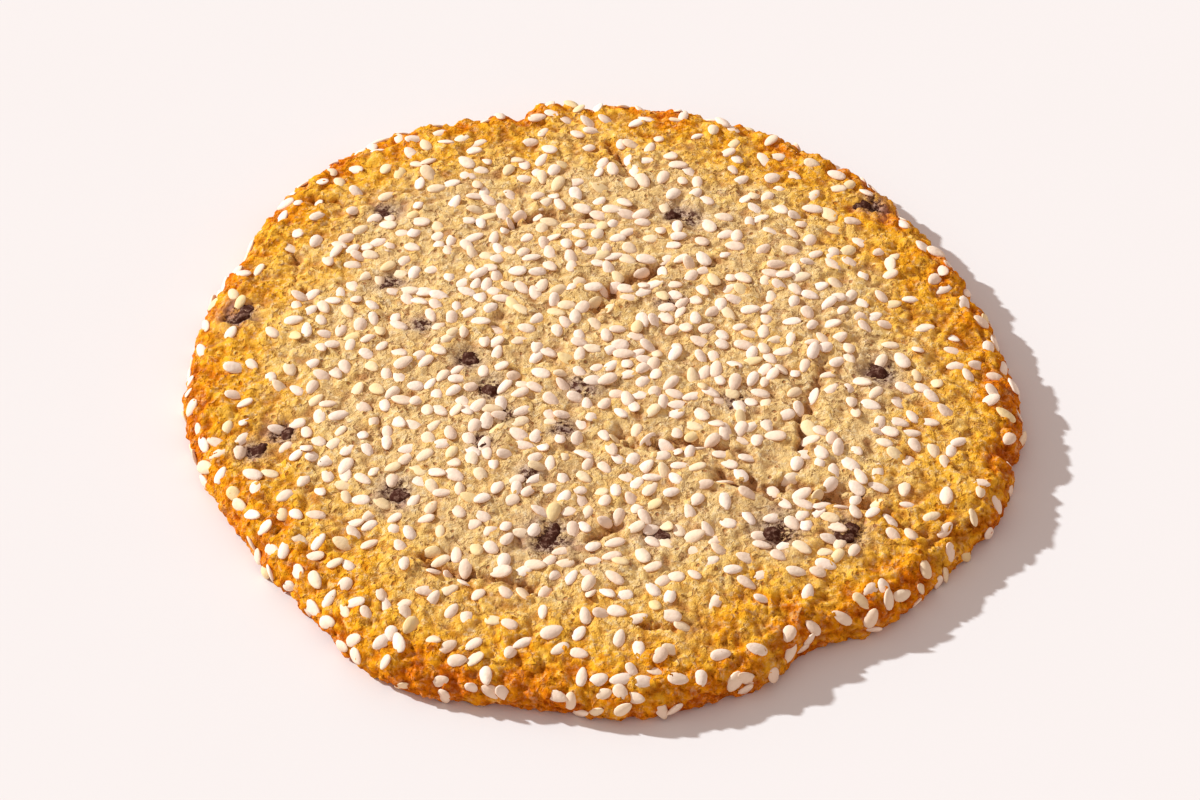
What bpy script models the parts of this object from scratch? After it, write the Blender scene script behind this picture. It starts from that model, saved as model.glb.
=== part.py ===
"""Sesame chocolate cookie: a thin, round biscuit, baked flat and scattered with hulled sesame seeds.

The biscuit is one baked piece. Its crust rises a little to the middle, is cracked and hollowed on top,
rounds over at the rim and is drawn in under the side. Seeds and the tips of chocolate chips are baked
into it, so they are fused to the crust. It lies on its flat base, centred on the origin, with +Z up.
"""

import math
import random

import bmesh
import bpy
from mathutils import Matrix, Vector, noise
from mathutils.bvhtree import BVHTree

MM = 0.001

# Without this, noise vectors differ from run to run
noise.seed_set(7)

# The biscuit as a whole
RIM_RADIUS = 59.7 * MM
MIDDLE_HEIGHT = 8.4 * MM
SHOULDER_HEIGHT = 5.9 * MM
BELLY_HEIGHT = 2.0 * MM
SHOULDER_WIDTH = 5.0 * MM
FOOT_WIDTH = 1.3 * MM
DOME_FLATNESS = 2.6

# Where the dough ran out further or less far: angle and half-width in degrees, reach
RIM_LOBES = (
    (27, 30, -1.3 * MM),
    (89, 9, 0.9 * MM),
    (97.5, 5, 1.4 * MM),
    (130, 28, 2.7 * MM),
    (214, 32, -2.2 * MM),
    (243, 18, 2.1 * MM),
    (276, 16, 1.2 * MM),
    (301.5, 11, -2.8 * MM),
    (336, 7, 0.9 * MM),
    (344, 26, 2.1 * MM),
)
# Nicks in the rim, where a crack reaches it: angle, half-width, reach
RIM_NICKS = (
    (17.5, 2.5, -0.9 * MM),
    (37.6, 2.8, -1.3 * MM),
    (50.3, 2.5, -1.2 * MM),
    (57, 5.0, -0.7 * MM),
    (91, 2.0, -1.2 * MM),
    (102.5, 3.0, -1.3 * MM),
    (154, 5.0, -0.6 * MM),
    (345.5, 2.2, -1.6 * MM),
)
RIM_RAGGEDNESS = 0.2 * MM
RIM_RAG_SIZE = 4.0 * MM

# Relief of the crust: size of the waves and lumps, and how far they stand out
WAVE_SIZE = 15 * MM
WAVE_HEIGHT = 0.55 * MM
LUMP_SIZE = 6 * MM
LUMP_HEIGHT = 0.45 * MM
LUMP_STEEPNESS = 2.0
LUMP_LEVEL = 0.6
SIDE_RELIEF = 0.6
FOOT_CALM = 1 / 3

# Cracks and hollows in the top: depth, half-width, then points from end to end, in millimetres
CRACKS = (
    (1.6, 2.0, ((9.5, 19.3), (5.5, 17.3), (2.0, 13.3), (-0.5, 11.3))),
    (1.5, 1.5, ((18, -22.7), (24.5, -24.7), (28, -23.2), (32, -25.2), (38, -26.2))),
    (1.1, 1.3, ((33, 0.8), (32, -4.2), (30.5, -8.2), (28.5, -11.7), (29, -16.2))),
    (1.0, 1.4, ((3, -14.7), (8.5, -16.2), (14, -15.7), (21, -17.7))),
    (1.0, 1.3, ((-24, -36.2), (-19, -39.7), (-12, -41.2), (-7, -43.2))),
    (0.9, 1.4, ((-2, -34.2), (2.5, -31.2))),
    (0.8, 1.2, ((5, -48.7), (11, -49.2))),
    (0.45, 1.2, ((-45, 26.8), (-44.5, 20.3), (-43, 14.8))),
    (0.8, 1.1, ((-42, 35.8), (-37.5, 35.8))),
    (1.0, 1.3, ((1.5, 48.8), (3, 44.8), (5, 41.8))),
    (0.8, 1.2, ((40, -28.2), (46, -31.7), (52, -28.2))),
    (0.4, 1.3, ((-35, -5.2), (-31, -9.2), (-30, -15.2))),
    (0.7, 1.4, ((-14, 28.8), (-8, 31.8), (-1, 29.8))),
)
# How far a crack's slopes reach beyond its half-width, and how far it wanders, in millimetres
CRACK_SPREAD = 1.45
CRACK_WANDER = 1.3
CRACK_WANDER_SIZE = 3.5

# Chocolate chips that show through the crust: place and width in millimetres
CHIPS = (
    (-31.8, 32.8, 3.6),
    (-30.5, 17.4, 3.2),
    (-18.7, 0.4, 3.4),
    (-15.5, -5.7, 4.0),
    (20, -7.4, 3.2),
    (40.8, -1, 4.4),
    (-45, -12.2, 3.6),
    (-49, -15.5, 3.2),
    (-16.3, -16.2, 3.2),
    (-28.4, -25.4, 4.2),
    (-6.8, -33.5, 5.6),
    (8, -33, 3.2),
    (25.2, -32, 5.6),
    (34.8, -31.6, 4.4),
    (41.5, 35.6, 3.4),
    (11.5, 31.8, 3.4),
    (-53, 12.2, 3.6),
)
CHIP_THICKNESS = 0.62
CHIP_HOLLOW_DEPTH = 0.5 * MM
CHIP_PROUD = 0.6 * MM
CHIP_UNEVENNESS = 0.18
CHIP_BUMP_SIZE = 0.2

# Sesame seeds: their mean size, and how they lie
SEED_COUNT = 232
SEED_LENGTH = 2.9 * MM
SEED_WIDTH = 1.75 * MM
SEED_RISE = 0.48 * MM
SEED_LIFT = 0.15 * MM
SEED_OUTLINE = ((-0.5, 0), (-0.34, -0.4), (0, -0.5), (0.5, 0), (0, 0.5), (-0.34, 0.4))
SEED_RIDGE = (-0.24, 0.14)
SEED_SIZE_SPREAD = 0.12
SEED_SIZE_RANGE = (0.8, 1.2)
SEED_TILT_DEG = 7
SEED_CHOICES = 10
SEED_DRAW = 7
SEED_FIELD = 1.14
SEED_SIDE_REACH = 0.42
RIM_SEED_SHARE = 0.72

# How finely the crust is divided
TOP_RINGS = 16
RIM_SEGMENTS = 126
SIDE_ROWS = 6
SIDE_CLOSENESS = 0.85
BASE_SEGMENTS = 24
BASE_RING_RADIUS = 26 * MM

# Colours and roughness of the crust, the seeds and the chocolate
DOUGH_COLOUR = (0.62, 0.36, 0.13, 1.0)
SEED_COLOUR = (0.86, 0.76, 0.60, 1.0)
CHOCOLATE_COLOUR = (0.045, 0.018, 0.012, 1.0)
DOUGH_ROUGHNESS = 0.85
SEED_ROUGHNESS = 0.45
CHOCOLATE_ROUGHNESS = 0.4


def clear_scene():
    for obj in list(bpy.data.objects):
        bpy.data.objects.remove(obj, do_unlink=True)


def make_material(name, colour, roughness):
    material = bpy.data.materials.new(name)
    material.use_nodes = True
    shader = material.node_tree.nodes["Principled BSDF"]
    shader.inputs["Base Color"].default_value = colour
    shader.inputs["Roughness"].default_value = roughness
    shader.inputs["Metallic"].default_value = 0.0
    return material


def bell(offset):
    """1 at the middle, falling smoothly to 0 at an offset of 1 either way."""
    return 0.5 + 0.5 * math.cos(math.pi * min(abs(offset), 1.0))


def outward(angle):
    """Unit vector from the middle towards the rim, at an angle in radians."""
    return Vector((math.cos(angle), math.sin(angle), 0))


def rim_radius(angle):
    """How far the rim is from the middle, at an angle in radians."""
    degrees = math.degrees(angle)
    radius = RIM_RADIUS
    for centre, half_width, reach in RIM_LOBES + RIM_NICKS:
        offset = (degrees - centre + 180) % 360 - 180
        radius += reach * bell(offset / half_width)
    return radius + RIM_RAGGEDNESS * noise.noise(outward(angle) * (RIM_RADIUS / RIM_RAG_SIZE))


def distance_to_path(x, y, path):
    """Distance in the plan from a point to a line through several points, all in millimetres."""
    nearest = math.inf
    for (ax, ay), (bx, by) in zip(path, path[1:]):
        run_x, run_y = bx - ax, by - ay
        along = ((x - ax) * run_x + (y - ay) * run_y) / (run_x**2 + run_y**2)
        along = min(max(along, 0.0), 1.0)
        nearest = min(nearest, math.hypot(x - ax - along * run_x, y - ay - along * run_y))
    return nearest


def crack_depth(point):
    """How deep the cracks and the hollows round the chips are at a point of the top."""
    x, y = point.x / MM, point.y / MM
    wander = noise.noise_vector(Vector((x, y, 0)) / CRACK_WANDER_SIZE) * CRACK_WANDER
    depth = 0.0
    for deepest, half_width, path in CRACKS:
        distance = distance_to_path(x + wander.x, y + wander.y, path)
        depth = max(depth, deepest * MM * bell(distance / (CRACK_SPREAD * half_width)))
    for chip_x, chip_y, width in CHIPS:
        depth = max(depth, CHIP_HOLLOW_DEPTH * bell(math.hypot(x - chip_x, y - chip_y) / width))
    return depth


def relief(point):
    """How far the crust stands out from its smooth form at a point."""
    wave = noise.noise(point / WAVE_SIZE)
    nearest, second = noise.voronoi(point / LUMP_SIZE)[0][:2]
    lump = min((second - nearest) * LUMP_STEEPNESS, 1.0) - LUMP_LEVEL
    return WAVE_HEIGHT * wave + LUMP_HEIGHT * lump


def crust_point(angle, reach):
    """A point of the crust: reach runs 0 to 1 from the middle to the shoulder, and 1 to 2 down the side."""
    rim = rim_radius(angle)
    out = outward(angle)
    flat = rim - SHOULDER_WIDTH
    if reach <= 1:
        height = MIDDLE_HEIGHT + (SHOULDER_HEIGHT - MIDDLE_HEIGHT) * reach**DOME_FLATNESS
        smooth = out * (flat * reach) + Vector((0, 0, height))
        return smooth + Vector((0, 0, relief(smooth) - crack_depth(smooth)))
    turn = math.pi / 2 - math.pi * (reach - 1)
    if turn >= 0:
        width, rise = SHOULDER_WIDTH, SHOULDER_HEIGHT - BELLY_HEIGHT
    else:
        width, rise = FOOT_WIDTH, BELLY_HEIGHT
    along = rim - width + width * math.cos(turn)
    smooth = out * along + Vector((0, 0, BELLY_HEIGHT + rise * math.sin(turn)))
    facing = out * math.cos(turn) + Vector((0, 0, math.sin(turn)))
    settled = max(math.sin(turn), 0.0)
    foot = min(1.0, (2 - reach) / FOOT_CALM)
    swell = relief(smooth) * (SIDE_RELIEF + (1 - SIDE_RELIEF) * settled) * foot
    return smooth + facing * (swell - crack_depth(smooth) * settled)


def add_ring(crust, count, place):
    """A closed ring of vertices, each placed by its angle."""
    return [crust.verts.new(place(math.tau * i / count)) for i in range(count)]


def sew_rings(crust, inner, outer):
    """Fills the band between two rings with triangles, whatever their counts. The outer ring is lower."""
    i = j = 0
    while i < len(inner) or j < len(outer):
        a, b = inner[i % len(inner)], outer[j % len(outer)]
        step_outer = j < len(outer) and (j + 1) / len(outer) <= (i + 1) / len(inner) + 1e-9
        if step_outer or i == len(inner):
            j += 1
            crust.faces.new((a, b, outer[j % len(outer)]))
        else:
            i += 1
            crust.faces.new((a, b, inner[i % len(inner)]))


def side_reach(row):
    """Where a row of the side lies, with the rows closer where the side turns most."""
    return 1 + (row / SIDE_ROWS) ** SIDE_CLOSENESS


def build_crust(material):
    """The bare biscuit as one closed shell: top, side and flat base."""
    crust = bmesh.new()
    middle = crust.verts.new(crust_point(0, 0))
    ring = add_ring(crust, 6, lambda angle: crust_point(angle, 1 / TOP_RINGS))
    for i in range(6):
        crust.faces.new((middle, ring[i], ring[(i + 1) % 6]))
    for k in range(2, TOP_RINGS):
        wider = add_ring(crust, 6 * k, lambda angle, k=k: crust_point(angle, k / TOP_RINGS))
        sew_rings(crust, ring, wider)
        ring = wider
    for row in range(SIDE_ROWS + 1):
        lower = add_ring(crust, RIM_SEGMENTS, lambda angle, row=row: crust_point(angle, side_reach(row)))
        sew_rings(crust, ring, lower)
        ring = lower
    for vertex in ring:
        vertex.co.z = 0.0
    base = add_ring(crust, BASE_SEGMENTS, lambda angle: outward(angle) * BASE_RING_RADIUS)
    sew_rings(crust, ring, base)
    crust.faces.new(base[::-1])
    mesh = bpy.data.meshes.new("cookie")
    crust.to_mesh(mesh)
    crust.free()
    mesh.materials.append(material)
    cookie = bpy.data.objects.new("cookie", mesh)
    bpy.context.collection.objects.link(cookie)
    return cookie


def build_seed_mesh(material):
    """One flat, drop-shaped seed, pointed along +X: an outline, a ridge above it and one point below."""
    seed = bmesh.new()
    outline = [seed.verts.new((x * SEED_LENGTH, y * SEED_WIDTH, 0)) for x, y in SEED_OUTLINE]
    blunt, point = [seed.verts.new((x * SEED_LENGTH, 0, SEED_RISE)) for x in SEED_RIDGE]
    keel = seed.verts.new((0, 0, -SEED_RISE))
    for near, far in zip(outline, outline[1:] + outline[:1]):
        seed.faces.new((near, keel, far))
        crest = point if near.co.x + far.co.x > 0 else blunt
        seed.faces.new((near, far, crest))
    for waist in (vertex for vertex in outline if vertex.co.x == 0):
        seed.faces.new((blunt, point, waist))
    bmesh.ops.recalc_face_normals(seed, faces=seed.faces)
    mesh = bpy.data.meshes.new("sesame seed")
    seed.to_mesh(mesh)
    seed.free()
    mesh.materials.append(material)
    return mesh


def build_chip_mesh(material):
    """One rounded chip of chocolate, of width 1, slightly uneven."""
    chip = bmesh.new()
    bmesh.ops.create_icosphere(chip, subdivisions=1, radius=0.5)
    for vertex in chip.verts:
        vertex.co *= 1 + CHIP_UNEVENNESS * noise.noise(vertex.co / CHIP_BUMP_SIZE)
        vertex.co.z *= CHIP_THICKNESS
    mesh = bpy.data.meshes.new("chocolate chip")
    chip.to_mesh(mesh)
    chip.free()
    mesh.materials.append(material)
    return mesh


def seed_spots(count):
    """Angles and reaches for evenly scattered seeds: each is the roomiest of several random places."""
    draw = random.Random(SEED_DRAW)
    spots = []
    taken = []
    while len(spots) < count:
        best, best_room = None, -1.0
        for _ in range(SEED_CHOICES):
            angle = draw.uniform(0, math.tau)
            reach = math.sqrt(draw.random()) * SEED_FIELD
            if reach > 1:
                reach = 1 + (reach - 1) / (SEED_FIELD - 1) * SEED_SIDE_REACH
                if draw.random() > RIM_SEED_SHARE:
                    continue
            point = crust_point(angle, reach)
            room = min(((point - other).length for other in taken), default=1.0)
            if room > best_room:
                best, best_room = (angle, reach, point), room
        if best:
            spots.append(best[:2])
            taken.append(best[2])
    return spots


def lying_frame(crust_tree, point, probe):
    """Where a small thing lies on the faceted crust, and the direction that the crust faces there."""
    place = crust_tree.find_nearest(point)[0]
    facing = Vector()
    for offset in ((0, 0, 0), (probe, 0, 0), (-probe, 0, 0), (0, probe, 0), (0, -probe, 0)):
        facing += crust_tree.find_nearest(place + Vector(offset))[1]
    return place, facing.normalized()


def turned_to(facing, spin, tilt):
    """Rotation that lays a flat thing with its Z axis along a direction, turned round it and tilted."""
    upright = facing.to_track_quat("Z", "Y").to_matrix().to_4x4()
    return upright @ Matrix.Rotation(spin, 4, "Z") @ Matrix.Rotation(tilt, 4, "Y")


def scatter_seeds(mesh, crust_tree, collection):
    """Puts a seed on each spot, lying flat on the crust and sunk a little into it."""
    draw = random.Random(SEED_DRAW + 1)
    for angle, reach in seed_spots(SEED_COUNT):
        place, facing = lying_frame(crust_tree, crust_point(angle, reach), SEED_WIDTH / 2)
        spin = draw.uniform(0, math.tau)
        tilt = math.radians(draw.gauss(0, SEED_TILT_DEG))
        smallest, largest = SEED_SIZE_RANGE
        size = min(max(draw.gauss(1, SEED_SIZE_SPREAD), smallest), largest)
        seed = bpy.data.objects.new("seed", mesh)
        centre = place + facing * SEED_LIFT
        seed.matrix_world = Matrix.Translation(centre) @ turned_to(facing, spin, tilt) @ Matrix.Scale(size, 4)
        collection.objects.link(seed)


def set_chips(mesh, crust_tree, collection):
    """Sets each chip in its hollow, so that only its tip shows."""
    for number, (x, y, width) in enumerate(CHIPS):
        above = Vector((x * MM, y * MM, MIDDLE_HEIGHT))
        place, facing = lying_frame(crust_tree, above, width * MM / 4)
        size = width * MM
        centre = place - facing * (size * CHIP_THICKNESS / 2 - CHIP_PROUD)
        chip = bpy.data.objects.new("chip", mesh)
        chip.matrix_world = Matrix.Translation(centre) @ turned_to(facing, number, 0) @ Matrix.Scale(size, 4)
        collection.objects.link(chip)


def fuse(body, collection):
    """Joins everything in a collection to the body with one Boolean, then removes the loose pieces."""
    join = body.modifiers.new("fuse toppings", "BOOLEAN")
    join.operation = "UNION"
    join.operand_type = "COLLECTION"
    join.collection = collection
    join.solver = "EXACT"
    join.material_mode = "TRANSFER"
    bpy.context.view_layer.objects.active = body
    bpy.ops.object.modifier_apply(modifier=join.name)
    for obj in list(collection.objects):
        bpy.data.objects.remove(obj, do_unlink=True)
    bpy.data.collections.remove(collection)


def keep_main_shell(body):
    """Deletes every shell but the largest: hollows that the seeds sealed, and loose scraps."""
    shape = bmesh.new()
    shape.from_mesh(body.data)
    waiting = set(shape.verts)
    shells = []
    while waiting:
        front = [waiting.pop()]
        shell = set(front)
        while front:
            for edge in front.pop().link_edges:
                for vertex in edge.verts:
                    if vertex in waiting:
                        waiting.remove(vertex)
                        shell.add(vertex)
                        front.append(vertex)
        shells.append(shell)
    shells.sort(key=len)
    for shell in shells[:-1]:
        bmesh.ops.delete(shape, geom=list(shell), context="VERTS")
    shape.to_mesh(body.data)
    shape.free()


def main():
    clear_scene()
    dough = make_material("baked dough", DOUGH_COLOUR, DOUGH_ROUGHNESS)
    sesame = make_material("hulled sesame", SEED_COLOUR, SEED_ROUGHNESS)
    chocolate = make_material("dark chocolate", CHOCOLATE_COLOUR, CHOCOLATE_ROUGHNESS)
    cookie = build_crust(dough)
    crust_tree = BVHTree.FromObject(cookie, bpy.context.evaluated_depsgraph_get())
    toppings = bpy.data.collections.new("toppings")
    bpy.context.scene.collection.children.link(toppings)
    set_chips(build_chip_mesh(chocolate), crust_tree, toppings)
    scatter_seeds(build_seed_mesh(sesame), crust_tree, toppings)
    fuse(cookie, toppings)
    keep_main_shell(cookie)


main()
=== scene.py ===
"""Looks of the sesame chocolate cookie, in the frame of its solid.

The baked crust replaces the solid: it has the same form, from the same values, and a finer,
crumbly surface. The tips of chocolate chips sit in it and hulled sesame seeds lie on it.
The first seeds lie where the solid has its own.
"""

import math
import random

import bpy
from mathutils import Matrix, Vector, noise
from mathutils.bvhtree import BVHTree
from mathutils.kdtree import KDTree


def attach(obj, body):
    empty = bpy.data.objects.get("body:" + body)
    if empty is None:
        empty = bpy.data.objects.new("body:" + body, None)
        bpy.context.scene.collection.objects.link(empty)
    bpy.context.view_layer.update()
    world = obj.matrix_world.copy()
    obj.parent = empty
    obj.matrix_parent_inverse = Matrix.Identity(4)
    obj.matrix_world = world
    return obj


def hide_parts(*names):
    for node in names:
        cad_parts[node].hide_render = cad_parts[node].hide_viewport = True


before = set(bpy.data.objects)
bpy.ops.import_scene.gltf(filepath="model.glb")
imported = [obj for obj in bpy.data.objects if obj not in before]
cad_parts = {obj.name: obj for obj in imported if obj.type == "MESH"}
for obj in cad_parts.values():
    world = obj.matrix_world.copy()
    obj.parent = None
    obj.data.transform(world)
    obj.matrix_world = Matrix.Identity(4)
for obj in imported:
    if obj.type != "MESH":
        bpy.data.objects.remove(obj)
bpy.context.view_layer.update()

MM = 0.001

# Without a fixed seed, noise vectors differ from run to run
noise.seed_set(7)

# The biscuit as a whole, as in the solid
RIM_RADIUS = 59.7 * MM
MIDDLE_HEIGHT = 8.4 * MM
SHOULDER_HEIGHT = 5.9 * MM
BELLY_HEIGHT = 2.0 * MM
SHOULDER_WIDTH = 5.0 * MM
FOOT_WIDTH = 1.3 * MM
DOME_FLATNESS = 2.6

# Where the dough ran out further or less far: angle and half-width in degrees, reach
RIM_LOBES = (
    (27, 30, -1.3 * MM),
    (89, 9, 0.9 * MM),
    (97.5, 5, 1.4 * MM),
    (130, 28, 2.7 * MM),
    (214, 32, -2.2 * MM),
    (243, 18, 2.1 * MM),
    (276, 16, 1.2 * MM),
    (301.5, 11, -2.8 * MM),
    (336, 7, 0.9 * MM),
    (344, 26, 2.1 * MM),
)
# Nicks in the rim, where a crack reaches it: angle, half-width, reach
RIM_NICKS = (
    (17.5, 2.5, -0.9 * MM),
    (37.6, 2.8, -1.3 * MM),
    (50.3, 2.5, -1.2 * MM),
    (57, 5.0, -0.7 * MM),
    (91, 2.0, -1.2 * MM),
    (102.5, 3.0, -1.3 * MM),
    (154, 5.0, -0.6 * MM),
    (345.5, 2.2, -1.6 * MM),
)
RIM_RAGGEDNESS = 0.2 * MM
RIM_RAG_SIZE = 4.0 * MM

# Relief that the crust shares with the solid
WAVE_SIZE = 15 * MM
WAVE_HEIGHT = 0.55 * MM
LUMP_SIZE = 6 * MM
LUMP_HEIGHT = 0.45 * MM
LUMP_STEEPNESS = 2.0
LUMP_LEVEL = 0.6
SIDE_RELIEF = 0.6
FOOT_CALM = 1 / 3

# Cracks and hollows in the top: depth, half-width, then points from end to end, in millimetres
CRACKS = (
    (1.6, 2.0, ((9.5, 19.3), (5.5, 17.3), (2.0, 13.3), (-0.5, 11.3))),
    (1.5, 1.5, ((18, -22.7), (24.5, -24.7), (28, -23.2), (32, -25.2), (38, -26.2))),
    (1.1, 1.3, ((33, 0.8), (32, -4.2), (30.5, -8.2), (28.5, -11.7), (29, -16.2))),
    (1.0, 1.4, ((3, -14.7), (8.5, -16.2), (14, -15.7), (21, -17.7))),
    (1.0, 1.3, ((-24, -36.2), (-19, -39.7), (-12, -41.2), (-7, -43.2))),
    (0.9, 1.4, ((-2, -34.2), (2.5, -31.2))),
    (0.8, 1.2, ((5, -48.7), (11, -49.2))),
    (0.45, 1.2, ((-45, 26.8), (-44.5, 20.3), (-43, 14.8))),
    (0.8, 1.1, ((-42, 35.8), (-37.5, 35.8))),
    (1.0, 1.3, ((1.5, 48.8), (3, 44.8), (5, 41.8))),
    (0.8, 1.2, ((40, -28.2), (46, -31.7), (52, -28.2))),
    (0.4, 1.3, ((-35, -5.2), (-31, -9.2), (-30, -15.2))),
    (0.7, 1.4, ((-14, 28.8), (-8, 31.8), (-1, 29.8))),
)
# How far a crack's slopes reach beyond its half-width, and how far it wanders, in millimetres
CRACK_SPREAD = 1.45
CRACK_WANDER = 1.3
CRACK_WANDER_SIZE = 3.5
# How much of the solid's crack depth the crust keeps, and how unevenly
CRACK_CALM = 0.24
CRACK_BREAK = 1.5
CRACK_BREAK_SIZE = 3.2
# The narrow, ragged core of each crack, which the solid leaves out, in millimetres
CRACK_JITTER = 1.1
CRACK_JITTER_SIZE = 1.3
CRACK_CORE_DEPTH = 0.7
CRACK_CORE_WIDTH = 1.05
CRACK_RAG = 1.4
CRACK_RAG_SIZE = 1.3

# Chocolate chips that show through the crust: place and width in millimetres
CHIPS = (
    (-31.8, 32.8, 3.6),
    (-30.5, 17.4, 3.2),
    (-18.7, 0.4, 3.4),
    (-15.5, -5.7, 4.0),
    (20, -7.4, 3.2),
    (40.8, -1, 4.4),
    (-45, -12.2, 3.6),
    (-49, -15.5, 3.2),
    (-16.3, -16.2, 3.2),
    (-28.4, -25.4, 4.2),
    (-6.8, -33.5, 5.6),
    (8, -33, 3.2),
    (25.2, -32, 5.6),
    (34.8, -31.6, 4.4),
    (41.5, 35.6, 3.4),
    (11.5, 31.8, 3.4),
    (-53, 12.2, 3.6),
)
CHIP_THICKNESS = 0.62
CHIP_HOLLOW_DEPTH = 0.5 * MM
CHIP_PROUD = 0.3 * MM
CHIP_CLEAR = 0.33
CHIP_PROBE = 0.25
CHIP_DETAIL = 4
CHIP_ROUGHNESS = 0.4
CHIP_LUMP_SIZE = 0.4
CHIP_GRAIN = 0.12
CHIP_GRAIN_SIZE = 0.1
# Places where a chip lies just under the crust and greys it: place and radius in millimetres
HAZES = (
    (-52.5, 11.5, 3.4),
    (-2.3, -5.3, 3.4),
    (-5.0, -13.6, 3.0),
    (-25.5, 7.5, 2.4),
    (-9.5, -22.5, 2.6),
    (10.5, 12.0, 2.6),
    (-13.5, -11.0, 2.8),
    (-28.4, -24.4, 3.6),
    (13.5, 30.6, 3.2),
)
HAZE_SPREAD = 1.5
HAZE_ROUND_CHIP = 1.35

# Fine relief of the crumb, in millimetres
BROAD_CRUMB = 2.6
BROAD_HEIGHT = 0.24
BROAD_SHARPNESS = 0.8
BROAD_STEP = 2.1
BROAD_LAYERS = 3
CRUMB_WARP = 0.6
CRUMB_WARP_SIZE = 1.7
NODULE_SIZE = 1.4
NODULE_HEIGHT = 0.46
NODULE_LEVEL = 0.38
RIM_ROUGHER = 1.0
CRACK_ROUGHER = 1.6
# How low a spot must lie between crumbs before shade is painted on it, and where that painted shade is full
SUNK_START = 0.05
SUNK_FULL = 0.42
CALM_FOOT = 0.15

# How finely the crust is divided: rings of the top, rows of the shoulder and of the foot
TOP_RINGS = 144
CORNERS = 6
SHOULDER_ROWS = 24
FOOT_ROWS = 10
SIDE_ROWS = SHOULDER_ROWS + FOOT_ROWS
# Rings under the base, as shares of its radius
BASE_INSETS = (0.97, 0.9, 0.6)

# Browning of the crust, in millimetres from the rim
BROWN_START = 21.0
BROWN_POWER = 1.15
BROWN_WANDER = 3.5
BROWN_WANDER_SIZE = 8.0
FOOT_BROWN = 0.15
FOOT_BROWN_REACH = (1.2, 1.7)

# Sesame seeds: their mean size, and how they lie in the solid
SOLID_SEED_COUNT = 232
SEED_LENGTH = 2.9 * MM
SEED_WIDTH = 1.75 * MM
SEED_THICKNESS = 0.48 * MM
SEED_FULLNESS = 0.5
SEED_TAPER = 0.16
SEED_POINT = 0.08
SEED_SIDES = 8
SEED_RINGS = 7
TOASTED_POWER = 7
SEED_LIFT = 0.15 * MM
SEED_SIZE_SPREAD = 0.12
SEED_SIZE_RANGE = (0.8, 1.2)
SEED_TILT_DEG = 7
SEED_CHOICES = 10
SEED_DRAW = 7
SEED_FIELD = 1.14
SEED_SIDE_REACH = 0.42
RIM_SEED_SHARE = 0.72

# The crumb swells round a seed and is painted darker and browner there as shade, in millimetres from the
# seed's middle
NEST_REACH = 1.15
NEST_WIDTH = 0.9
NEST_HEIGHT = 0.26
NEST_SIZE = 2.2
NEST_MEAN = 0.5
NEST_SHADE_REACH = 1.7

# More seeds, which gather in drifts: reaches run past 1 down the side, and lifts are in millimetres
LOOSE_SEED_COUNT = 920
LOOSE_DRAW = 23
CLOSEST_SEEDS = 1.65 * MM
STACKED_SEEDS = 2.1 * MM
STACK_LIFT = 0.25 * MM
STACK_TILT_DEG = 7
CROWDED_GAPS = 0.45
LOOSE_FIELD = 1.25
LOOSE_SIDE_REACH = 0.62
LOOSE_LIFTS = (-0.05, 0.2)
LOOSE_LENGTHS = (0.85, 1.12)
LOOSE_WIDTHS = (0.86, 1.12)
LOOSE_THICKNESSES = (0.8, 1.2)
# Where they gather and where few lie: place and radius in millimetres
SEED_DRIFTS = (
    (-30, -40, 12),
    (2, -50, 9),
    (-30.5, 23, 5),
    (-17, 11, 6),
    (-5, 23, 7),
    (11, 17, 6),
    (8, 4, 5),
    (21, 1, 7),
    (31, 13, 6),
    (24, 29, 5),
    (34, -27, 6),
    (-4, -21, 7),
    (-18, -10, 6),
    (-31, -20, 6),
    (-42, -17, 6),
    (-53, -9, 5),
    (7, -33, 6),
    (-36, 8, 5),
    (14, -13, 5),
)
CLEARINGS = (
    (-25.5, 5, 5),
    (-10, 2, 5),
    (1, 15, 4.5),
    (22, 23, 4),
    (23, -19, 5),
    (-39, 31, 6),
    (-46, 21, 6),
    (47, 16, 5),
)
DRIFT_REACH = 1.6
CLEARING_REACH = 1.4
SEEDS_OFF_DRIFTS = 0.42
SEEDS_KEPT_OUT = 0.75
# How few lie beyond the middle and at the rim, and from where to where along the top they get fewer
SEEDS_BEYOND_MIDDLE = 0.68
SEEDS_AT_RIM = 0.18
MIDDLE_EDGE = (0.5, 0.65)
RIM_EDGE = (0.76, 0.9)

# Camera, fitted to the photograph
CAMERA_ELEVATION_DEG = 46
CAMERA_DISTANCE = 0.575
CAMERA_LENS_MM = 120
CAMERA_AIM = Vector((0.0003, -0.0048, 0.005))
CAMERA_NEAREST = 0.01

# Floor and light
FLOOR_WIDTH = 6.0
SUN_ELEVATION_DEG = 29
SUN_AZIMUTH_DEG = 157
SUN_STRENGTH = 4.8
SUN_SOFTNESS_DEG = 2.2
SUN_COLOUR = (0.83, 0.94, 1.0)
FILL_STRENGTH = 0.55
FILL_COLOUR = (1.0, 0.875, 0.835, 1.0)


def clamp(value, low=0.0, high=1.0):
    return min(max(value, low), high)


def smooth_step(value, start, end):
    """0 at start, 1 at end and smooth between them."""
    share = clamp((value - start) / (end - start))
    return share * share * (3 - 2 * share)


def bell(offset):
    """1 at the middle, falling smoothly to 0 at an offset of 1 either way."""
    return 0.5 + 0.5 * math.cos(math.pi * min(abs(offset), 1.0))


def outward(angle):
    """Unit vector from the middle towards the rim, at an angle in radians."""
    return Vector((math.cos(angle), math.sin(angle), 0))


def rim_radius(angle):
    """How far the rim is from the middle, at an angle in radians."""
    degrees = math.degrees(angle)
    radius = RIM_RADIUS
    for centre, half_width, reach in RIM_LOBES + RIM_NICKS:
        offset = (degrees - centre + 180) % 360 - 180
        radius += reach * bell(offset / half_width)
    return radius + RIM_RAGGEDNESS * noise.noise(outward(angle) * (RIM_RADIUS / RIM_RAG_SIZE))


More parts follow.
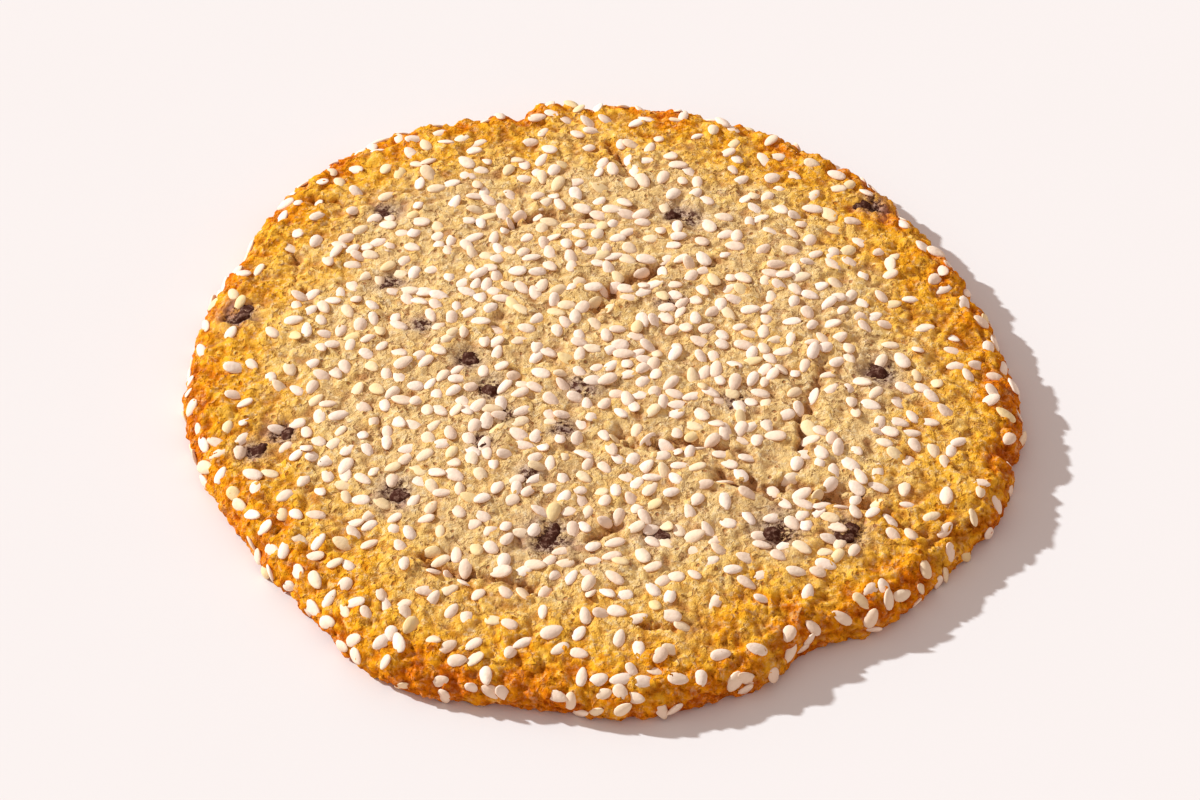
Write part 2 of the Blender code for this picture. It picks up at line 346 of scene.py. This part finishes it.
def distance_to_path(x, y, path):
    """Distance in the plan from a point to a line through several points, all in millimetres."""
    nearest = math.inf
    for (ax, ay), (bx, by) in zip(path, path[1:]):
        run_x, run_y = bx - ax, by - ay
        along = ((x - ax) * run_x + (y - ay) * run_y) / (run_x**2 + run_y**2)
        along = min(max(along, 0.0), 1.0)
        nearest = min(nearest, math.hypot(x - ax - along * run_x, y - ay - along * run_y))
    return nearest


def near_path(x, y, path, margin):
    """Whether a point may be within a margin of a path, by the path's box."""
    xs = [point[0] for point in path]
    ys = [point[1] for point in path]
    return min(xs) - margin < x < max(xs) + margin and min(ys) - margin < y < max(ys) + margin


def crack_depth(point):
    """How deep the cracks and the hollows round the chips are at a point of the top."""
    x, y = point.x / MM, point.y / MM
    wander = noise.noise_vector(Vector((x, y, 0)) / CRACK_WANDER_SIZE) * CRACK_WANDER
    broken = CRACK_CALM * (1 + CRACK_BREAK * noise.noise(Vector((x, y, 0)) / CRACK_BREAK_SIZE))
    depth = 0.0
    for deepest, half_width, path in CRACKS:
        slope = CRACK_SPREAD * half_width
        if near_path(x + wander.x, y + wander.y, path, slope):
            distance = distance_to_path(x + wander.x, y + wander.y, path)
            depth = max(depth, broken * deepest * MM * bell(distance / slope))
    for chip_x, chip_y, width in CHIPS:
        depth = max(depth, CHIP_HOLLOW_DEPTH * bell(math.hypot(x - chip_x, y - chip_y) / width))
    return depth


def relief(point):
    """How far the crust stands out from its smooth form at a point, as in the solid."""
    wave = noise.noise(point / WAVE_SIZE)
    nearest, second = noise.voronoi(point / LUMP_SIZE)[0][:2]
    lump = min((second - nearest) * LUMP_STEEPNESS, 1.0) - LUMP_LEVEL
    return WAVE_HEIGHT * wave + LUMP_HEIGHT * lump


def crust_place(angle, reach):
    """A place on the crust without its crumb, and the way it faces: reach runs 0 to 1 from the
    middle to the shoulder, and 1 to 2 down the side."""
    rim = rim_radius(angle)
    out = outward(angle)
    flat = rim - SHOULDER_WIDTH
    if reach <= 1:
        height = MIDDLE_HEIGHT + (SHOULDER_HEIGHT - MIDDLE_HEIGHT) * reach**DOME_FLATNESS
        smooth = out * (flat * reach) + Vector((0, 0, height))
        facing = Vector((0, 0, 1))
        return smooth + facing * (relief(smooth) - crack_depth(smooth)), facing
    turn = math.pi / 2 - math.pi * (reach - 1)
    if turn >= 0:
        width, rise = SHOULDER_WIDTH, SHOULDER_HEIGHT - BELLY_HEIGHT
    else:
        width, rise = FOOT_WIDTH, BELLY_HEIGHT
    along = rim - width + width * math.cos(turn)
    smooth = out * along + Vector((0, 0, BELLY_HEIGHT + rise * math.sin(turn)))
    facing = out * math.cos(turn) + Vector((0, 0, math.sin(turn)))
    settled = max(math.sin(turn), 0.0)
    foot = min(1.0, (2 - reach) / FOOT_CALM)
    swell = relief(smooth) * (SIDE_RELIEF + (1 - SIDE_RELIEF) * settled) * foot
    return smooth + facing * (swell - crack_depth(smooth) * settled), facing


def crack_core(spot):
    """How much of a crack's narrow, ragged core is at a spot in millimetres, 0 to 1."""
    flat = Vector((spot.x, spot.y, 0))
    wander = noise.noise_vector(flat / CRACK_WANDER_SIZE) * CRACK_WANDER
    jitter = noise.noise_vector(flat / CRACK_JITTER_SIZE) * CRACK_JITTER
    x, y = spot.x + wander.x + jitter.x, spot.y + wander.y + jitter.y
    core = 0.0
    for deepest, _, path in CRACKS:
        width = CRACK_CORE_WIDTH * deepest
        if near_path(x, y, path, width):
            core = max(core, min(deepest, 1.0) * bell(distance_to_path(x, y, path) / width))
    return core


def crumb(spot, brown):
    """Fine relief at a spot in millimetres, and how far down between crumbs the spot lies, 0 to 1, which
    sets the shade painted there.
    """
    core = crack_core(spot)
    rough = 1 + RIM_ROUGHER * brown + CRACK_ROUGHER * core
    warped = spot + noise.noise_vector(spot / CRUMB_WARP_SIZE) * CRUMB_WARP
    broad = noise.fractal(spot / BROAD_CRUMB, BROAD_SHARPNESS, BROAD_STEP, BROAD_LAYERS)
    nodule = NODULE_LEVEL - noise.voronoi(warped / NODULE_SIZE)[0][0]
    height = (BROAD_HEIGHT * broad + NODULE_HEIGHT * nodule) * rough
    ragged = 1 + CRACK_RAG * noise.noise(spot / CRACK_RAG_SIZE)
    height -= CRACK_CORE_DEPTH * core * ragged
    return height, smooth_step(-height, SUNK_START, SUNK_FULL)


def browning(spot, angle, reach):
    """How brown the crust baked at a spot in millimetres: 0 is floury, 1 the foot of the rim."""
    wander = noise.noise(spot / BROWN_WANDER_SIZE) * BROWN_WANDER
    inset = rim_radius(angle) / MM - math.hypot(spot.x, spot.y) + wander
    near_rim = clamp(1 - inset / BROWN_START) ** BROWN_POWER
    low = smooth_step(reach, *FOOT_BROWN_REACH)
    return (1 - FOOT_BROWN) * near_rim + FOOT_BROWN * low


def haze(spot):
    """How much the chocolate greys the crust at a spot in millimetres, 0 to 1."""
    cover = 0.0
    for x, y, radius in HAZES:
        cover = max(cover, bell(math.hypot(spot.x - x, spot.y - y) / (HAZE_SPREAD * radius)))
    for x, y, width in CHIPS:
        cover = max(cover, bell(math.hypot(spot.x - x, spot.y - y) / (HAZE_ROUND_CHIP * width)))
    return cover


def deselect_all():
    bpy.ops.object.select_all(action="DESELECT")


def hexagon_place(x, y):
    """Turns a place in a hexagon of radius 1 to an angle and a share of the radius."""
    distance = math.hypot(x, y)
    if distance < 1e-9:
        return 0.0, 0.0
    corner = math.pi / 3
    turn = math.atan2(y, x) % math.tau
    sector = int(turn / corner)
    local = turn - sector * corner
    back = math.sin(corner - local) * distance / math.sin(corner)
    ahead = math.sin(local) * distance / math.sin(corner)
    return (sector + ahead / (back + ahead)) * corner, back + ahead


def ring_vertex(ring, step):
    """Number of a vertex of the net: rings count out from the middle, steps round from the first corner."""
    if ring == 0:
        return 0
    return 1 + CORNERS * ring * (ring - 1) // 2 + step % (CORNERS * ring)


def top_net():
    """Vertices and faces of a flat hexagon of even triangles, ring by ring, with a radius of 1."""
    corners = [outward(math.tau * corner / CORNERS) for corner in range(CORNERS + 1)]
    vertices = [Vector((0, 0, 0))]
    faces = []
    for ring in range(1, TOP_RINGS + 1):
        for sector in range(CORNERS):
            outer, inner = sector * ring, sector * (ring - 1)
            for step in range(ring):
                ahead = corners[sector] * (ring - step) + corners[sector + 1] * step
                vertices.append(ahead / TOP_RINGS)
                first = ring_vertex(ring, outer + step)
                second = ring_vertex(ring, outer + step + 1)
                inward = ring_vertex(ring - 1, inner + step)
                faces.append((first, second, inward))
                if step < ring - 1:
                    faces.append((inward, second, ring_vertex(ring - 1, inner + step + 1)))
    return vertices, faces


def flat_net():
    """The net of the crust: the hexagon, with a skirt of rows below its edge, closed under the base."""
    vertices, faces = top_net()
    round_edge = CORNERS * TOP_RINGS
    upper = range(len(vertices) - round_edge, len(vertices))
    edge = [vertices[index].copy() for index in upper]
    for row in range(1, SIDE_ROWS + len(BASE_INSETS) + 1):
        lower = range(len(vertices), len(vertices) + round_edge)
        vertices.extend(place - Vector((0, 0, row)) for place in edge)
        for index in range(round_edge):
            ahead = (index + 1) % round_edge
            faces.append((upper[index], lower[index], lower[ahead], upper[ahead]))
        upper = lower
    faces.append(tuple(reversed(upper)))
    mesh = bpy.data.meshes.new("baked_crust")
    mesh.from_pydata(vertices, [], faces)
    net = bpy.data.objects.new("baked_crust", mesh)
    bpy.context.collection.objects.link(net)
    return net


def side_reach(row):
    """How far down the side a row lies: 1 is the shoulder and 2 the foot."""
    if row <= SHOULDER_ROWS:
        return 1 + 0.5 * row / SHOULDER_ROWS
    return 1.5 + 0.5 * (row - SHOULDER_ROWS) / FOOT_ROWS


def bake_crust():
    """The crust: the net moved to the biscuit's form and crumb, with notes for its colours and for the
    shade painted low between its crumbs.
    """
    crust = flat_net()
    bake = crust.data.attributes.new("bake", "FLOAT_COLOR", "POINT")
    tones = []
    for vertex in crust.data.vertices:
        row = round(-vertex.co.z)
        angle, share = hexagon_place(vertex.co.x, vertex.co.y)
        if row > SIDE_ROWS:
            rim = outward(angle) * (rim_radius(angle) - FOOT_WIDTH)
            vertex.co = rim * BASE_INSETS[row - SIDE_ROWS - 1]
            tones.extend((1.0, 0.0, 0.0, 1.0))
            continue
        reach = side_reach(row) if row else share
        place, facing = crust_place(angle, reach)
        spot = place / MM
        brown = browning(spot, angle, reach)
        calm = clamp((2 - reach) / CALM_FOOT)
        height, sunk = crumb(spot, brown)
        vertex.co = place + facing * (height * MM * calm)
        vertex.co.z = max(vertex.co.z, 0.0) if row < SIDE_ROWS else 0.0
        # The second number is the painted shade of spots that lie low between crumbs and in cracks
        tones.extend((brown, sunk, haze(spot), 1.0))
    bake.data.foreach_set("color", tones)
    crust.data.shade_smooth()
    crust.data.update()
    return crust


class Crust:
    """The finished crust, as something to lay seeds and chips on."""

    def __init__(self, crust):
        self.tree = BVHTree.FromObject(crust, bpy.context.evaluated_depsgraph_get())

    def under(self, point):
        return self.tree.find_nearest(point)[0]

    def lie(self, point, probe):
        """The place nearest to a point, and the way the crust faces there over the probe's length."""
        place = self.under(point)
        rough = self.tree.find_nearest(place)[1]
        along = rough.orthogonal().normalized()
        across = rough.cross(along)
        ends = [self.under(place + way * probe) for way in (along, -along, across, -across)]
        facing = (ends[0] - ends[1]).cross(ends[2] - ends[3]).normalized()
        if facing.dot(rough) < 0:
            facing.negate()
        middle = sum(ends, place) / 5
        return middle, facing


def turned_to(facing, spin, tilt):
    """Rotation that lays a flat thing with its Z axis along a direction, turned round it and tilted."""
    upright = facing.to_track_quat("Z", "Y").to_matrix().to_4x4()
    return upright @ Matrix.Rotation(spin, 4, "Z") @ Matrix.Rotation(tilt, 4, "Y")


def filled(part, girth):
    """Moves a coordinate of a round section outwards, which squares the section a little."""
    return math.copysign(girth * (abs(part) / girth) ** SEED_FULLNESS, part) if girth > 1e-6 else 0.0


def shape_seed():
    """One hulled seed: a flat drop with a rounded edge that points along +X."""
    deselect_all()
    bpy.ops.mesh.primitive_uv_sphere_add(
        segments=SEED_SIDES, ring_count=SEED_RINGS, radius=0.5, rotation=(0, math.pi / 2, 0)
    )
    seed = bpy.context.object
    bpy.ops.object.transform_apply(rotation=True)
    for vertex in seed.data.vertices:
        along = 2 * vertex.co.x
        girth = math.hypot(vertex.co.y, vertex.co.z)
        taper = 1 - SEED_TAPER * along - SEED_POINT * along**3
        vertex.co.x *= SEED_LENGTH
        vertex.co.y = filled(vertex.co.y, girth) * SEED_WIDTH * taper
        vertex.co.z = filled(vertex.co.z, girth) * SEED_THICKNESS
    seed.data.shade_smooth()
    seed.data.attributes.new("tone", "FLOAT_COLOR", "POINT")
    return seed


def solid_seed_spots():
    """Angles and reaches of the seeds in the solid: each is the roomiest of several random places."""
    draw = random.Random(SEED_DRAW)
    spots = []
    taken = []
    while len(spots) < SOLID_SEED_COUNT:
        best, best_room = None, -1.0
        for _ in range(SEED_CHOICES):
            angle = draw.uniform(0, math.tau)
            reach = math.sqrt(draw.random()) * SEED_FIELD
            if reach > 1:
                reach = 1 + (reach - 1) / (SEED_FIELD - 1) * SEED_SIDE_REACH
                if draw.random() > RIM_SEED_SHARE:
                    continue
            point = crust_place(angle, reach)[0]
            room = min(((point - other).length for other in taken), default=1.0)
            if room > best_room:
                best, best_room = (angle, reach, point), room
        if best:
            spots.append(best[:2])
            taken.append(best[2])
    return spots


def nearness(spot, places, spread):
    """How near a spot in millimetres is to any of several round places, 0 to 1."""
    total = sum(bell(math.hypot(spot.x - x, spot.y - y) / (spread * radius)) for x, y, radius in places)
    return min(total, 1.0)


def seed_wish(spot, reach):
    """How much a seed wants to lie at a spot in millimetres, 0 to 1."""
    wish = 1 - (1 - SEEDS_BEYOND_MIDDLE) * smooth_step(reach, *MIDDLE_EDGE)
    wish -= (SEEDS_BEYOND_MIDDLE - SEEDS_AT_RIM) * smooth_step(reach, *RIM_EDGE)
    drift = nearness(spot, SEED_DRIFTS, DRIFT_REACH)
    bare = nearness(spot, CLEARINGS, CLEARING_REACH)
    wish *= SEEDS_OFF_DRIFTS + (1 - SEEDS_OFF_DRIFTS) * drift
    return clamp(wish * (1 - SEEDS_KEPT_OUT * bare))


def near_chip(spot):
    """Whether a spot in millimetres is on the tip of a chip."""
    return any(math.hypot(spot.x - x, spot.y - y) < CHIP_CLEAR * width for x, y, width in CHIPS)


class SeedBed:
    """Seeds laid on the crust one by one."""

    def __init__(self, crust, form):
        self.crust = crust
        self.form = form
        self.centres = []
        self.seeds = []
        self.tones = random.Random(LOOSE_DRAW + 1)

    def nearest(self, point):
        return min(((point - other).length for other in self.centres), default=1.0)

    def lay(self, centre, turned, size):
        seed = self.form.copy()
        seed.data = self.form.data.copy()
        seed.data.transform(Matrix.Translation(centre) @ turned @ size)
        lowest = min(vertex.co.z for vertex in seed.data.vertices)
        seed.data.transform(Matrix.Translation((0, 0, max(-lowest, 0))))
        toasted = self.tones.random() ** TOASTED_POWER
        shade = self.tones.random()
        tones = []
        for vertex in self.form.data.vertices:
            tones.extend((toasted, shade, vertex.co.x / SEED_LENGTH + 0.5, 1.0))
        seed.data.attributes["tone"].data.foreach_set("color", tones)
        bpy.context.collection.objects.link(seed)
        self.seeds.append(seed)
        self.centres.append(centre)

    def lay_solid_seeds(self):
        """The seeds that the solid has, where it has them."""
        draw = random.Random(SEED_DRAW + 1)
        for angle, reach in solid_seed_spots():
            place, facing = self.crust.lie(crust_place(angle, reach)[0], SEED_WIDTH / 2)
            spin = draw.uniform(0, math.tau)
            tilt = math.radians(draw.gauss(0, SEED_TILT_DEG))
            smallest, largest = SEED_SIZE_RANGE
            size = min(max(draw.gauss(1, SEED_SIZE_SPREAD), smallest), largest)
            turned = turned_to(facing, spin, tilt)
            self.lay(place + facing * SEED_LIFT, turned, Matrix.Scale(size, 4))

    def lay_loose_seeds(self):
        """More seeds, closer together in the drifts, with a few on top of others."""
        draw = random.Random(LOOSE_DRAW)
        left = LOOSE_SEED_COUNT
        while left:
            angle = draw.uniform(0, math.tau)
            reach = math.sqrt(draw.random()) * LOOSE_FIELD
            if reach > 1:
                reach = 1 + (reach - 1) / (LOOSE_FIELD - 1) * LOOSE_SIDE_REACH
            spot, _ = crust_place(angle, reach)
            if draw.random() > seed_wish(spot / MM, reach):
                continue
            if near_chip(spot / MM):
                continue
            room = self.nearest(spot)
            if room < CLOSEST_SEEDS or (room < STACKED_SEEDS and draw.random() < CROWDED_GAPS):
                continue
            place, facing = self.crust.lie(spot, SEED_WIDTH / 2)
            stacked = min(clamp(1 - room / STACKED_SEEDS) * 2, 1)
            tilt = math.radians(draw.gauss(0, SEED_TILT_DEG + STACK_TILT_DEG * stacked))
            lift = draw.uniform(*LOOSE_LIFTS) * MM + STACK_LIFT * stacked
            length = draw.uniform(*LOOSE_LENGTHS)
            width = draw.uniform(*LOOSE_WIDTHS)
            size = Matrix.Diagonal((length, width, draw.uniform(*LOOSE_THICKNESSES), 1))
            turned = turned_to(facing, draw.uniform(0, math.tau), tilt)
            self.lay(place + facing * lift, turned, size)
            left -= 1

    def gather(self, name):
        """Joins the seeds into one piece."""
        return join(self.seeds, name)


def join(objects, name):
    """Joins meshes into one piece."""
    deselect_all()
    for obj in objects:
        obj.select_set(True)
    bpy.context.view_layer.objects.active = objects[0]
    bpy.ops.object.join()
    objects[0].name = objects[0].data.name = name
    return objects[0]


def sow_seeds(crust, baked):
    form = shape_seed()
    bed = SeedBed(crust, form)
    bed.lay_solid_seeds()
    bed.lay_loose_seeds()
    nest_seeds(baked, bed.centres)
    bpy.data.objects.remove(form, do_unlink=True)
    return bed.gather("sesame_seeds")


def nest_seeds(baked, seed_centres):
    """Swells the crumb round each seed, more round some than others, and notes how near a seed each
    place is, for the shade painted round the seeds."""
    middles = KDTree(len(seed_centres))
    for index, centre in enumerate(seed_centres):
        middles.insert(centre, index)
    middles.balance()
    # Nearness to a seed, kept for the shade painted on the crumb round each seed
    nest = baked.data.attributes.new("nest", "FLOAT", "POINT")
    near = []
    facings = [vertex.normal.copy() for vertex in baked.data.vertices]
    for vertex, facing in zip(baked.data.vertices, facings):
        distance = middles.find(vertex.co)[2] / MM
        near.append(bell(distance / NEST_SHADE_REACH))
        swell = NEST_HEIGHT * bell((distance - NEST_REACH) / NEST_WIDTH)
        swell *= clamp(NEST_MEAN + noise.noise(vertex.co / (NEST_SIZE * MM)))
        vertex.co += facing * (swell * MM)
        vertex.co.z = max(vertex.co.z, 0.0)
    nest.data.foreach_set("value", near)
    baked.data.update()


def set_chips(crust):
    """The chocolate chips: rough, rounded lumps of which only the tips come through the crust."""
    chips = []
    for number, (x, y, width) in enumerate(CHIPS):
        above = Vector((x * MM, y * MM, MIDDLE_HEIGHT))
        place, facing = crust.lie(above, width * MM * CHIP_PROBE)
        deselect_all()
        bpy.ops.mesh.primitive_ico_sphere_add(subdivisions=CHIP_DETAIL, radius=0.5)
        chip = bpy.context.object
        size = width * MM
        centre = place - facing * (size * CHIP_THICKNESS / 2 - CHIP_PROUD)
        turned = Matrix.Translation(centre) @ turned_to(facing, number, 0)
        for vertex in chip.data.vertices:
            own = vertex.co + Vector((number, 0, 0))
            lumps = CHIP_ROUGHNESS * noise.noise(own / CHIP_LUMP_SIZE)
            grain = CHIP_GRAIN * noise.noise(own / CHIP_GRAIN_SIZE)
            local = vertex.co * (1 + lumps + grain) * size
            local.z *= CHIP_THICKNESS
            vertex.co = turned @ local
        chip.data.shade_smooth()
        chips.append(chip)
    return join(chips, "chocolate_chips")


def linear(red, green, blue):
    """A colour as it looks on a screen, 0 to 255, as shader values."""
    return tuple(
        part / 12.92 if part <= 0.04045 else ((part + 0.055) / 1.055) ** 2.4
        for part in (red / 255, green / 255, blue / 255)
    ) + (1.0,)


class Value:
    """A shader output that can be used in sums."""

    def __init__(self, finish, socket):
        self.finish = finish
        self.socket = socket

    def sum(self, operation, first, second):
        return self.finish.node("ShaderNodeMath", {"operation": operation}, first, second)

    def __add__(self, other):
        return self.sum("ADD", self, other)

    def __radd__(self, other):
        return self.sum("ADD", other, self)

    def __sub__(self, other):
        return self.sum("SUBTRACT", self, other)

    def __rsub__(self, other):
        return self.sum("SUBTRACT", other, self)

    def __mul__(self, other):
        return self.sum("MULTIPLY", self, other)

    def __rmul__(self, other):
        return self.sum("MULTIPLY", other, self)

    def at_least(self, other):
        return self.sum("MAXIMUM", self, other)


class Finish:
    """One material and its nodes."""

    def __init__(self, name, roughness, specular):
        self.material = bpy.data.materials.new(name)
        self.material.use_nodes = True
        self.tree = self.material.node_tree
        self.shader = self.tree.nodes["Principled BSDF"]
        self.shader.inputs["Roughness"].default_value = roughness
        self.shader.inputs["Specular IOR Level"].default_value = specular

    def fill(self, socket, value):
        if isinstance(value, Value):
            self.tree.links.new(value.socket, socket)
        elif value is not None:
            socket.default_value = value

    def node(self, kind, settings, *values, output=0, **named):
        """Adds a node: first its settings, then its sockets in order or by name."""
        node = self.tree.nodes.new(kind)
        for name, value in settings.items():
            if name == "stops":
                self.set_stops(node.color_ramp, value)
            else:
                setattr(node, name, value)
        for index, value in enumerate(values):
            self.fill(node.inputs[index], value)
        for name, value in named.items():
            self.fill(node.inputs[name], value)
        return Value(self, node.outputs[output])

    def set_stops(self, ramp, stops):
        while len(ramp.elements) < len(stops):
            ramp.elements.new(1.0)
        for element, (position, colour) in zip(ramp.elements, stops):
            element.position = position
            element.color = colour

    def place(self):
        return self.node("ShaderNodeTexCoord", {}, output="Object")

    def attribute(self, name):
        """The three numbers kept in a colour attribute."""
        colour = self.node("ShaderNodeAttribute", {"attribute_name": name}, output="Color")
        split = self.node("ShaderNodeSeparateColor", {}, colour)
        outputs = split.socket.node.outputs
        return [Value(self, outputs[part]) for part in ("Red", "Green", "Blue")]

    def number(self, name):
        return self.node("ShaderNodeAttribute", {"attribute_name": name}, output="Fac")

    def noise(self, size, detail=2.0, roughness=0.5, output="Fac"):
        """Noise from 0 to 1 with patches of about a size in metres."""
        return self.node(
            "ShaderNodeTexNoise", {}, output=output,
            Vector=self.place(), Scale=1 / size, Detail=detail, Roughness=roughness,
        )

    def warped(self, size, reach):
        """Object coordinates pushed about by noise of a size, by up to half of reach."""
        return self.node(
            "ShaderNodeVectorMath", {"operation": "MULTIPLY_ADD"},
            self.noise(size, output="Color"), (reach, reach, reach), self.place(),
        )

    def cells(self, size, where, feature="F1"):
        """The distance to the middle or edge of a random cell, and a number of its own for each cell."""
        distance = self.node(
            "ShaderNodeTexVoronoi", {"feature": feature}, output="Distance",
            Vector=where, Scale=1 / size,
        )
        if feature != "F1":
            return distance
        colour = Value(self, distance.socket.node.outputs["Color"])
        return distance, self.node("ShaderNodeSeparateColor", {}, colour)

    def holes(self, size, reach):
        """Ragged round spots, one to a cell of a size in metres: 1 in the middle of some."""
        distance, own = self.cells(size, self.warped(size, reach))
        return self.step(distance, 0.36, 0.12) * self.step(own, 0.5, 0.75)

    def step(self, value, start, end, low=0.0, high=1.0):
        """Low below start, high above end and smooth between them."""
        return self.node(
            "ShaderNodeMapRange", {"interpolation_type": "SMOOTHSTEP"}, value, start, end, low, high,
        )

    def ramp(self, value, stops):
        return self.node("ShaderNodeValToRGB", {"stops": stops}, value, output="Color")

    def blend(self, share, first, second, way="MIX"):
        """Mixes two colours."""
        node = self.tree.nodes.new("ShaderNodeMix")
        node.data_type = "RGBA"
        node.blend_type = way
        self.fill(node.inputs["Factor"], share)
        self.fill(node.inputs[6], first)
        self.fill(node.inputs[7], second)
        return Value(self, node.outputs[2])

    def colour(self, value):
        self.fill(self.shader.inputs["Base Color"], value)

    def bump(self, height, distance):
        normal = self.node("ShaderNodeBump", {}, output="Normal", Distance=distance, Height=height)
        self.fill(self.shader.inputs["Normal"], normal)


def crust_finish():
    finish = Finish("baked crust", roughness=0.85, specular=0.04)
    brown, sunk, grey = finish.attribute("bake")
    nest = finish.number("nest")
    patches = finish.noise(7 * MM, detail=2)
    mottle = finish.noise(2.4 * MM, detail=4, roughness=0.6)
    grain = finish.noise(0.75 * MM, detail=5, roughness=0.72)
    low = finish.step(grain, 0.47, 0.3)
    patch = finish.step(patches, 0.38, 0.62)
    blotch = finish.step(mottle, 0.36, 0.64)
    edge, own = finish.cells(1.05 * MM, finish.warped(0.8 * MM, 0.9 * MM))
    gap = finish.step(edge, 0.45, 0.75) * finish.step(mottle, 0.46, 0.6) * (brown * 0.25 + 0.4)
    border = finish.cells(3.3 * MM, finish.warped(1.6 * MM, 2.2 * MM), "DISTANCE_TO_EDGE")
    crevice = finish.step(border, 0.1, 0.03) * finish.step(mottle, 0.54, 0.42) * (low * 0.5 + 0.5)
    pits = finish.holes(1.3 * MM, 0.9 * MM)
    hollows = finish.holes(4.1 * MM, 3.4 * MM)
    shaded_dips = hollows.at_least(sunk) * (low * 0.3 + 0.7)
    # Recesses of the crumb: pits, gaps between grains, crevices, hollows and sunk spots, which get painted
    # shade
    shaded_recess = (pits * 0.85).at_least(shaded_dips).at_least(gap).at_least(crevice)
    tone = brown + (blotch - 0.5) * (brown * 0.2 + 0.1)
    # Near the seeds the tone is pushed a little browner, as painted shade
    tone = tone + (patch - 0.5) * (brown * 0.22 + 0.1) + nest * 0.05
    colour = finish.ramp(tone, (
        (0.0, linear(242, 199, 132)),
        (0.12, linear(249, 202, 119)),
        (0.3, linear(255, 194, 88)),
        (0.5, linear(255, 186, 56)),
        (0.68, linear(254, 170, 30)),
        (0.84, linear(250, 152, 14)),
        (1.0, linear(236, 126, 8)),
    ))
    # Pale specks on the raised grains: partly the dough's own floury specks and partly painted highlight on
    # the crumb tops
    pale = finish.step(grain + own * 0.1, 0.54, 0.74) * (0.7 - brown * 0.42)
    colour = finish.blend(pale, colour, linear(254, 230, 188))
    # Painted shade: the dips of the grain are blended darker orange
    colour = finish.blend(low * 0.25, colour, linear(214, 132, 20))
    # Painted shade: the recesses of the crumb are multiplied to a darker, warm brown
    colour = finish.blend(shaded_recess * 0.85, colour, linear(168, 88, 6), "MULTIPLY")
    # Painted shade: the crumb round each seed is darkened and browned as if the seed shaded it
    colour = finish.blend(nest * 0.6, colour, linear(244, 204, 104), "MULTIPLY")
    stain = grey * finish.step(mottle, 0.35, 0.6, 0.2, 0.95)
    colour = finish.blend(stain, colour, linear(182, 150, 134))
    colour = finish.blend(stain * low, colour, linear(104, 76, 64))
    smear = finish.step(grey, 0.5, 0.85) * finish.step(grain, 0.54, 0.44)
    colour = finish.blend(smear, colour, linear(84, 46, 34))
    finish.colour(colour)
    fine = finish.noise(0.3 * MM, detail=3, roughness=0.7)
    finish.bump(grain * 1.3 + fine * 0.4 + mottle - shaded_recess * 1.3 - edge * 0.3, distance=0.33 * MM)
    return finish.material


def seed_finish():
    finish = Finish("hulled sesame", roughness=0.62, specular=0.22)
    toasted, shade, along = finish.attribute("tone")
    cloud = finish.noise(0.9 * MM, detail=3)
    pale = finish.blend(shade, linear(253, 227, 206), linear(246, 212, 184))
    colour = finish.blend(toasted, pale, linear(243, 208, 146))
    tip = finish.step(along, 0.8, 1.0, 0, 0.5) * cloud
    colour = finish.blend(tip, colour, linear(226, 182, 120))
    colour = finish.blend(finish.step(cloud, 0.5, 0.3, 0, 0.3), colour, linear(228, 196, 160))
    finish.colour(colour)
    finish.bump(cloud, distance=0.1 * MM)
    return finish.material


def chocolate_finish():
    finish = Finish("dark chocolate", roughness=0.8, specular=0.1)
    bloom = finish.noise(0.7 * MM, detail=5, roughness=0.75)
    colour = finish.blend(
        finish.step(bloom, 0.48, 0.66, 0, 0.75), linear(70, 32, 18), linear(158, 118, 98)
    )
    finish.colour(colour)
    finish.bump(bloom, distance=0.3 * MM)
    return finish.material


def floor_finish():
    finish = Finish("pale floor", roughness=0.8, specular=0.1)
    paper = finish.noise(40 * MM, detail=3)
    colour = finish.blend(paper * 0.3, linear(236, 227, 223), linear(232, 222, 217))
    finish.colour(colour)
    return finish.material


def lay_floor():
    deselect_all()
    bpy.ops.mesh.primitive_plane_add(size=FLOOR_WIDTH)
    floor = bpy.context.object
    floor.name = floor.data.name = "floor"
    floor.data.materials.append(floor_finish())


def set_light():
    """A low sun from the left, a little behind the biscuit, and an even, warmer fill."""
    sun = bpy.data.lights.new("sun", "SUN")
    sun.energy = SUN_STRENGTH
    sun.angle = math.radians(SUN_SOFTNESS_DEG)
    sun.color = SUN_COLOUR
    lamp = bpy.data.objects.new("sun", sun)
    azimuth, elevation = math.radians(SUN_AZIMUTH_DEG), math.radians(SUN_ELEVATION_DEG)
    towards = outward(azimuth) * math.cos(elevation) + Vector((0, 0, math.sin(elevation)))
    lamp.rotation_euler = towards.to_track_quat("Z", "Y").to_euler()
    bpy.context.scene.collection.objects.link(lamp)
    world = bpy.data.worlds.new("soft fill")
    bpy.context.scene.world = world
    world.use_nodes = True
    background = world.node_tree.nodes["Background"]
    background.inputs["Color"].default_value = FILL_COLOUR
    background.inputs["Strength"].default_value = FILL_STRENGTH


def set_camera():
    elevation = math.radians(CAMERA_ELEVATION_DEG)
    camera = bpy.data.objects.new("camera", bpy.data.cameras.new("camera"))
    camera.data.lens = CAMERA_LENS_MM
    camera.data.clip_start = CAMERA_NEAREST
    back = Vector((0, -math.cos(elevation), math.sin(elevation)))
    camera.location = CAMERA_AIM + back * CAMERA_DISTANCE
    camera.rotation_euler = (math.pi / 2 - elevation, 0, 0)
    bpy.context.scene.collection.objects.link(camera)
    bpy.context.scene.camera = camera
    bpy.context.scene.view_settings.view_transform = "Standard"


def build():
    baked = bake_crust()
    crust = Crust(baked)
    chips = set_chips(crust)
    seeds = sow_seeds(crust, baked)
    for piece, slot, material in (
        (baked, "crust", crust_finish()),
        (chips, "chocolate", chocolate_finish()),
        (seeds, "sesame", seed_finish()),
    ):
        piece.data.materials.append(material)
        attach(piece, "root")
    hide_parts("cookie")
    lay_floor()
    set_light()
    set_camera()


build()
